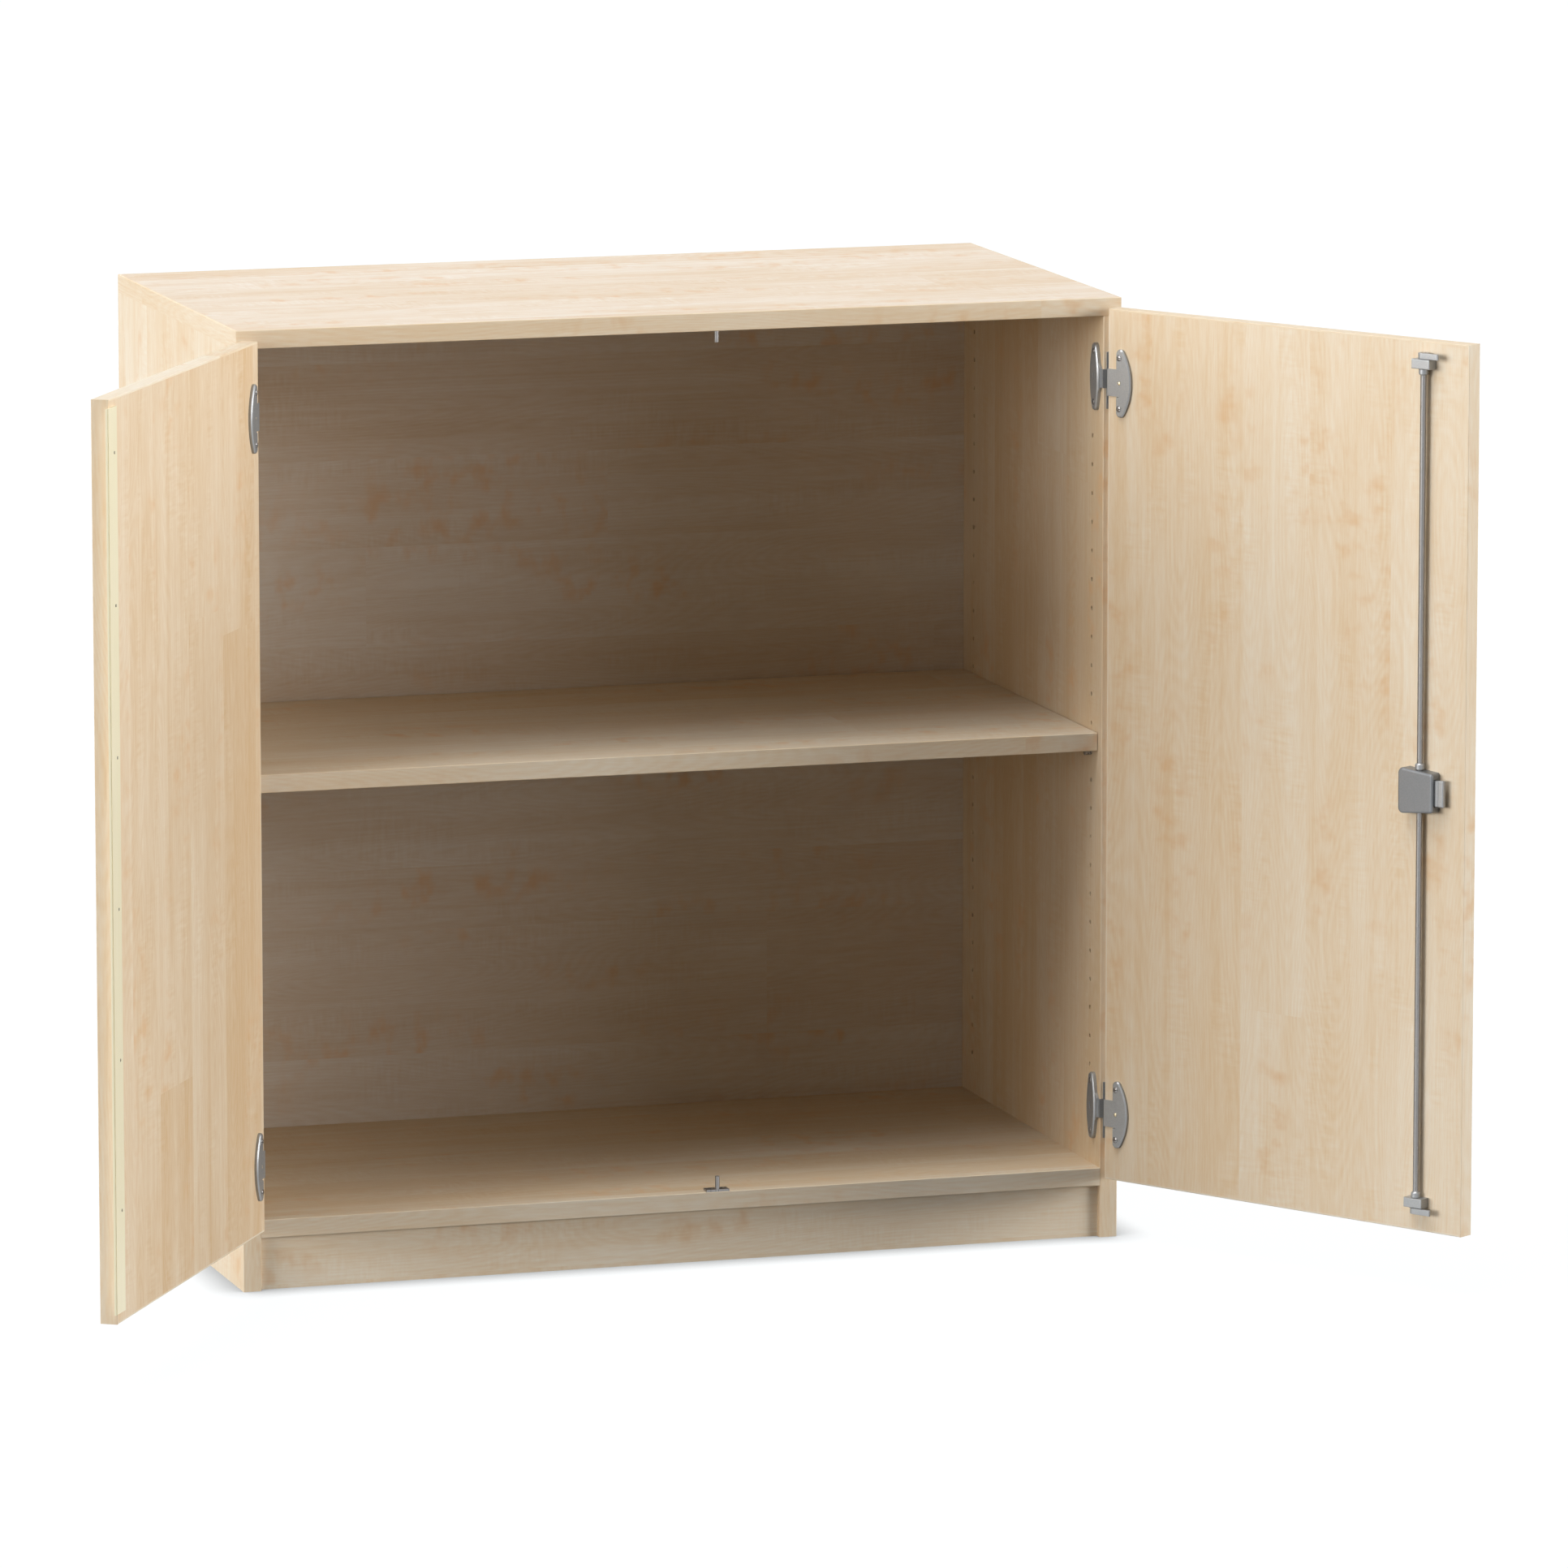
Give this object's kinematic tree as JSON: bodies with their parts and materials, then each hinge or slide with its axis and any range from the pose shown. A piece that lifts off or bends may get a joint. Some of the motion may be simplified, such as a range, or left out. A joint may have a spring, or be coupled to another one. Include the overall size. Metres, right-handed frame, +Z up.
{
  "type": "two-door office cabinet",
  "caption": "Low office cabinet in maple laminate with hinged doors, a loose shelf on pins, rows of shelf-pin holes, a plinth and a rod lock with a turning knob.",
  "frame": {"origin": "on the floor, on the cabinet's centre line, at the front face of the plinth", "axes": "+X to the right seen from the front, +Y from the front towards the back, +Z up"},
  "size_m": [1.522, 0.9675, 1.05],
  "materials": {
    "maple_laminate": "matt laminate",
    "maple_edge_band": "matt",
    "cream_plastic": "satin",
    "satin_nickel": "satin",
    "zinc_plated_steel": "satin",
    "brass": "satin",
    "beech_dowel": "raw"
  },
  "bodies": {
    "carcass": {"back_panel": "maple_laminate", "bottom_panel": "maple_laminate", "carcass_dowels": "beech_dowel", "carcass_edge_bands": "maple_edge_band", "hinge_side_leaf_screws": "zinc_plated_steel", "left_side_panel": "maple_laminate", "lower_left_hinge_pin": "zinc_plated_steel", "lower_left_hinge_side_leaf": "satin_nickel", "lower_right_hinge_pin": "zinc_plated_steel", "lower_right_hinge_side_leaf": "satin_nickel", "lower_strike_plate": "zinc_plated_steel", "plinth": "maple_laminate", "rear_rail": "maple_laminate", "right_side_panel": "maple_laminate", "shelf": "maple_laminate", "shelf_edge_band": "maple_edge_band", "shelf_pins": "zinc_plated_steel", "strike_plate_screws": "zinc_plated_steel", "top_panel": "maple_laminate", "upper_left_hinge_pin": "zinc_plated_steel", "upper_left_hinge_side_leaf": "satin_nickel", "upper_right_hinge_pin": "zinc_plated_steel", "upper_right_hinge_side_leaf": "satin_nickel", "upper_strike_pin": "zinc_plated_steel"},
    "left_door": {"closing_strip": "cream_plastic", "closing_strip_screws": "zinc_plated_steel", "left_door_edge_bands": "maple_edge_band", "left_door_panel": "maple_laminate", "left_hinge_adjusting_screws": "brass", "left_hinge_door_leaf_screws": "zinc_plated_steel", "lower_left_hinge_door_leaf": "satin_nickel", "lower_left_hinge_tongue": "satin_nickel", "upper_left_hinge_door_leaf": "satin_nickel", "upper_left_hinge_tongue": "satin_nickel"},
    "right_door": {"knob_rosette": "satin_nickel", "lock_base_plate": "satin_nickel", "lock_base_screws": "zinc_plated_steel", "lock_case": "satin_nickel", "lower_right_hinge_door_leaf": "satin_nickel", "lower_right_hinge_tongue": "satin_nickel", "lower_rod_guide": "satin_nickel", "right_door_edge_bands": "maple_edge_band", "right_door_panel": "maple_laminate", "right_hinge_adjusting_screws": "brass", "right_hinge_door_leaf_screws": "zinc_plated_steel", "upper_right_hinge_door_leaf": "satin_nickel", "upper_right_hinge_tongue": "satin_nickel", "upper_rod_guide": "satin_nickel"},
    "lock_rods": {"lock_rod_collars": "zinc_plated_steel", "lock_rod_hub": "zinc_plated_steel", "lower_lock_hook": "zinc_plated_steel", "lower_lock_rod": "zinc_plated_steel", "upper_lock_hook": "zinc_plated_steel", "upper_lock_rod": "zinc_plated_steel"},
    "turn_knob": {"key_cylinder": "brass", "knob_spindle": "zinc_plated_steel", "lock_drive_drum": "zinc_plated_steel", "turn_knob": "satin_nickel"},
    "lock_bolt": {"lock_bolt": "satin_nickel"}
  },
  "joints": [
    {"name": "left_door_hinge", "type": "hinge", "parent": "carcass", "child": "left_door", "pos_m": [-0.48948, -0.02055, 0.5532], "axis": [0, 0, -1], "range_deg": [-122.7, 2.3]},
    {"name": "right_door_hinge", "type": "hinge", "parent": "carcass", "child": "right_door", "pos_m": [0.48948, -0.02055, 0.5532], "axis": [0, 0, 1], "range_deg": [-122.7, 2.3]},
    {"name": "knob_turn", "type": "hinge", "parent": "right_door", "child": "turn_knob", "pos_m": [0.72665, -0.36879, 0.5532], "axis": [0.8415, 0.5402, 0], "range_deg": [0, 90]},
    {"name": "rod_turn", "type": "hinge", "parent": "right_door", "child": "lock_rods", "pos_m": [0.70936, -0.39368, 0.5532], "axis": [0, 0, 1], "range_deg": [-90, 0]},
    {"name": "bolt_slide", "type": "slide", "parent": "right_door", "child": "lock_bolt", "axis": [0.5402, -0.8415, 0], "range_m": [-0.008, 0]}
  ],
  "couplings": [
    {"joint": "rod_turn", "follows": "knob_turn", "ratio": -1},
    {"joint": "bolt_slide", "follows": "knob_turn", "m_per_rad": -0.005}
  ]
}
